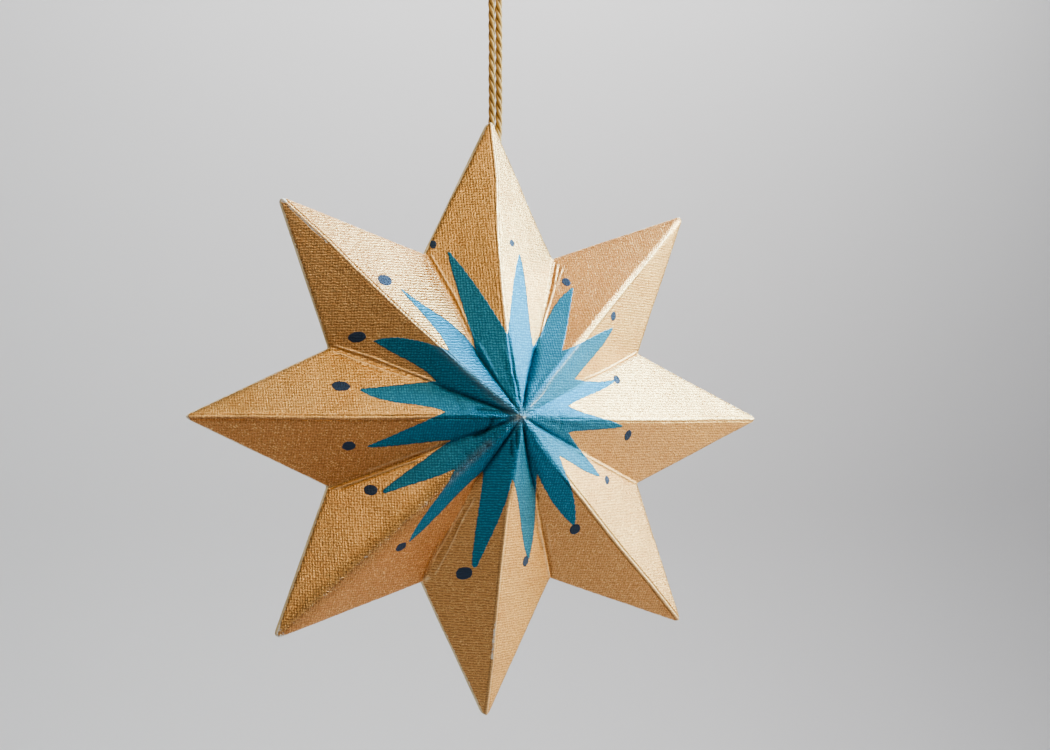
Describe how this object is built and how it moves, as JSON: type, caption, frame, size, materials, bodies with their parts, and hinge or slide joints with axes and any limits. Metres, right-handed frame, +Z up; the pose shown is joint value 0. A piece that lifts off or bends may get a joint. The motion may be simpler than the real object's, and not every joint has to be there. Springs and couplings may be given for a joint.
{
  "type": "hanging star decoration",
  "caption": "Folded card star with beaded ridges, a painted starburst and dots on its front, and a doubled hanging cord.",
  "frame": {"origin": "where the loop of the hanging cord bears on its hook, at the inside of the loop's top", "axes": "+Z up, the painted front of the star to -Y, the seam between its two sheets in the plane y = 0"},
  "size_m": [0.15, 0.0561, 0.2087],
  "materials": {
    "gold_card": "satin metallic gold paint on handmade ribbed card, cut edges cream",
    "teal_paint": "matt hand-brushed paint, worn grey on the folds",
    "slate_paint": "matt hand-dotted paint",
    "ochre_cord": "twisted fibre cord, slightly hairy"
  },
  "bodies": {
    "root": {"front_shell": "gold_card", "back_shell": "gold_card", "starburst_paint": "teal_paint", "dots_paint": "slate_paint", "hanging_cord": "ochre_cord"}
  },
  "joints": []
}
